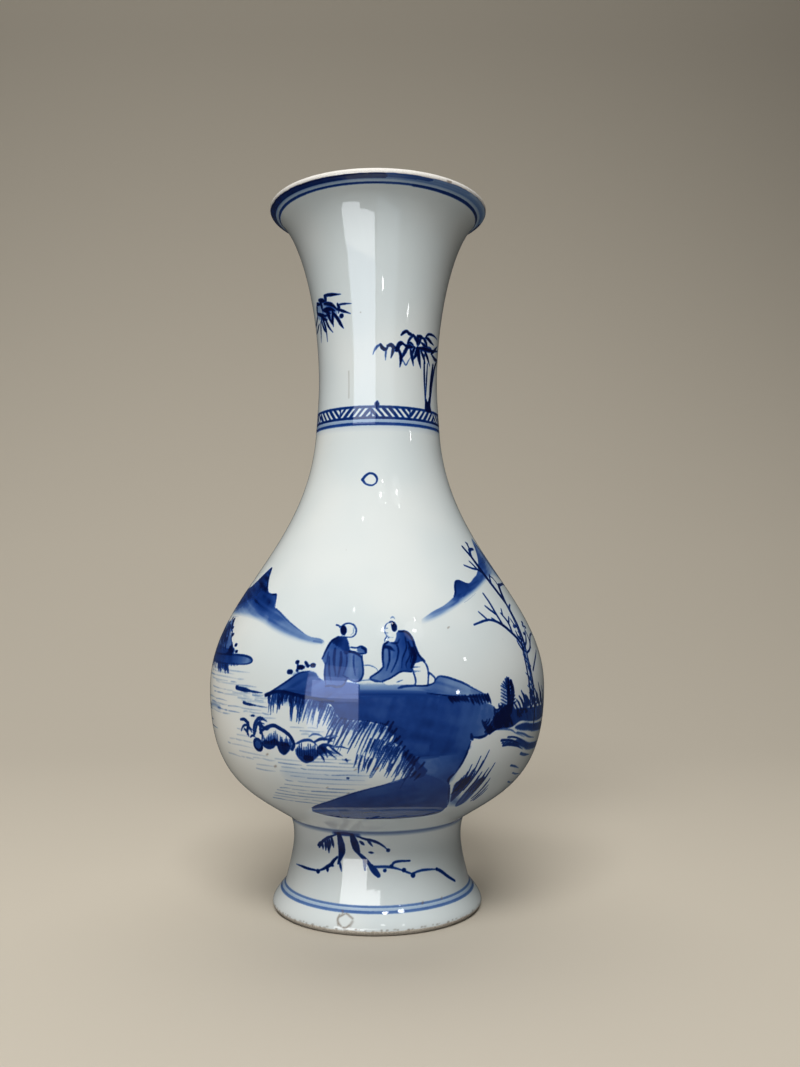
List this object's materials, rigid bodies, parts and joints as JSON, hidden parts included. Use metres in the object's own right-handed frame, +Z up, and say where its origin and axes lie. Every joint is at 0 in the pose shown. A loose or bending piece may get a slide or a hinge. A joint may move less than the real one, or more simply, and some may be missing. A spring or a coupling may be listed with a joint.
{
  "type": "flared-mouth vase",
  "caption": "Porcelain vase with a round body on a hollow splayed foot and a tall neck that flares to a turned-out lip.",
  "frame": {"origin": "centre of the foot ring's resting face", "axes": "+Z up along the vase's axis, -Y towards the painted front with the two seated figures, +X to the right as seen from that front"},
  "size_m": [0.1186, 0.1186, 0.25],
  "materials": {
    "glazed_porcelain": "clear gloss glaze over white porcelain painted in cobalt blue",
    "slip_clay": "matt fired slip"
  },
  "bodies": {
    "root": {"foot_section": "glazed_porcelain", "foot_luting_slip": "slip_clay", "belly_section": "glazed_porcelain", "belly_luting_slip": "slip_clay", "shoulder_section": "glazed_porcelain", "neck_luting_slip": "slip_clay", "neck_section": "glazed_porcelain"}
  },
  "joints": []
}
